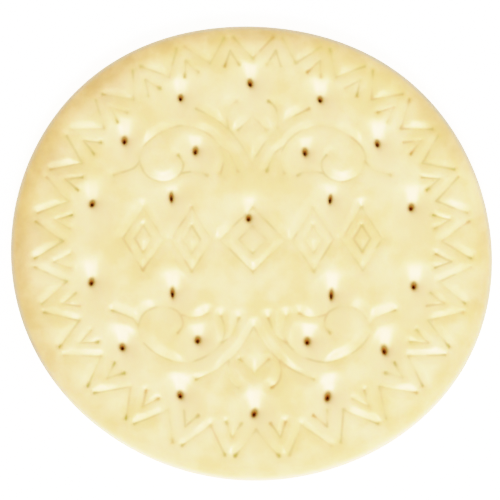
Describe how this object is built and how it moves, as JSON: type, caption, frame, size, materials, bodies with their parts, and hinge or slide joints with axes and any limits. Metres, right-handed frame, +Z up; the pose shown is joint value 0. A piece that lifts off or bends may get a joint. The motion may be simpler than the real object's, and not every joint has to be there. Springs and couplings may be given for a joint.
{
  "type": "marie biscuit",
  "caption": "Thin oval baked biscuit, pale golden, with docker holes and a pressed pattern: zigzag border, mirrored scrolls and plain lozenges",
  "frame": {"origin": "under the middle of the biscuit, on the surface it lies on", "axes": "+Z up out of the patterned face, +X along the longer way of the oval, +Y towards the top of the pattern"},
  "size_m": [0.0666, 0.0629, 0.0062],
  "materials": {
    "baked_dough": "pale baked dough, dry satin, tan at the rim"
  },
  "bodies": {
    "root": {"biscuit": "baked_dough"}
  },
  "joints": []
}
